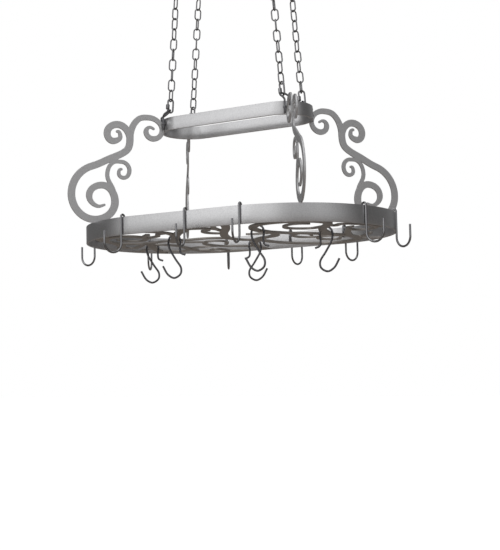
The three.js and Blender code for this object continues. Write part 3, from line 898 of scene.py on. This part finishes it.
# Each corner's name, its signs of x and y, how its quick link faces, and its chain's twist, in degrees.
CORNERS = (
    ("front_left", -1, -1, 33, -10), ("back_left", -1, 1, -52, 9), ("front_right", 1, -1, -50, -8),
    ("back_right", 1, 1, 10, 4),
)
for name, sx, sy, yaw, twist in CORNERS:
    hanging_eye(name, sx, sy)
    eye_nuts(name, sx, sy)
    run = Vector((-sx * CHAIN_LEAN, 0, 1)).normalized()
    upright = Vector((0, 0, 1)).rotation_difference(run).to_matrix().to_4x4()
    foot = Matrix.Translation(eye(sx, sy, 0, EYE_RISE)) @ upright
    face = math.radians(yaw + FACING)
    link_and_sleeve(name, foot, face)
    chain(name, foot, face, twist)
for made in (quick_link, sleeve, nut, chain_link):
    bpy.data.objects.remove(made)

# %% [markdown]
# ## The floor
# The rack hangs in front of white, and its floor is far below. The camera, and rays that pass through glass,
# see the floor as white. It is a warm grey to all other rays, so the undersides turn brown.

# %% Floor
FLOOR_Z = -1.9
FLOOR_SIZE = 40
FLOOR_GREY = (0.48, 0.43, 0.39, 1)
FLOOR_WHITE = 0.9
WHITE = (1, 1, 1, 1)


def seen(net):
    """1 for the camera's rays and those that pass through glass, and 0 for all others."""
    from_camera = net.node("ShaderNodeLightPath", output="Is Camera Ray")
    through_glass = net.node("ShaderNodeLightPath", output="Is Transmission Ray")
    return from_camera + through_glass


bpy.ops.mesh.primitive_plane_add(size=FLOOR_SIZE, location=(0, 0, FLOOR_Z))
floor = bpy.context.active_object
floor.name = "floor"
floor_net = Net(bpy.data.materials.new("floor_white"))
glow = seen(floor_net) * FLOOR_WHITE
floor_net.finish(Base_Color=FLOOR_GREY, Roughness=0.9, Emission_Color=WHITE, Emission_Strength=glow)
floor.data.materials.append(floor_net.owner)

# %% [markdown]
# ## The room
# The same rays see the world as white. To all others, glossy ones too, it is a room that is bright in front,
# half bright to the right and dim at its sides and back, which gives the bands' round ends their dark shade.
# So the metal doesn't mirror the white that the camera sees. The room is a ramp on the angle round the rack,
# in the world's own nodes, and it lights matt and shiny surfaces alike. Two weak, large lamps add a soft
# light from the front and from above.

# %% World
# How bright the room is all round the rack, by degrees from the X axis.
ROOM = (
    (-180, 0.08), (-162, 0.07), (-148, 0.17), (-134, 0.52), (-120, 0.83), (-100, 0.79), (-88, 0.90),
    (-79, 1.00), (-68, 0.62), (-58, 0.44), (-45, 0.46), (-32, 0.56), (-20, 0.54), (-6, 0.36), (8, 0.15),
    (24, 0.08), (60, 0.12), (84, 0.22), (104, 0.30), (126, 0.24), (150, 0.12), (180, 0.08),
)
sky = Net(bpy.data.worlds.new("studio"), "Background")
bpy.context.scene.world = sky.owner
way = sky.node("ShaderNodeTexCoord", output="Generated")
way_x = sky.node("ShaderNodeSeparateXYZ", output="X", Vector=way)
way_y = sky.node("ShaderNodeSeparateXYZ", output="Y", Vector=way)
round_about = way_y.maths("ARCTAN2", way_y, way_x) * (1 / math.tau) + 0.5
room_stops = [(degrees / 360 + 0.5, grey) for degrees, grey in ROOM]
room = sky.node("ShaderNodeValToRGB", {"stops": room_stops}, Fac=round_about)
direct = seen(sky)
sky.finish(Color=WHITE, Strength=direct + (1 - direct) * room)

# %% Lamps
LAMPS_AIM = Vector((0, 0, -0.5))


def lamp(name, place, size, watts):
    light = bpy.data.lights.new(name, "AREA")
    light.shape = "RECTANGLE"
    light.size, light.size_y = size
    light.energy = watts
    holder = bpy.data.objects.new(name, light)
    bpy.context.collection.objects.link(holder)
    turn = (LAMPS_AIM - Vector(place)).to_track_quat("-Z", "Y")
    holder.matrix_world = Matrix.Translation(place) @ turn.to_matrix().to_4x4()


def around(degrees, distance, height):
    """A place round the rack, `degrees` from the X axis."""
    turn = math.radians(degrees)
    return (distance * math.cos(turn), distance * math.sin(turn), height)


lamp("key", around(-112, 3.4, 0.6), size=(2.2, 2.0), watts=5)
lamp("top", (0, -0.4, 1.7), size=(2.4, 2.4), watts=10)

# %% View
bpy.context.scene.view_settings.view_transform = "Standard"
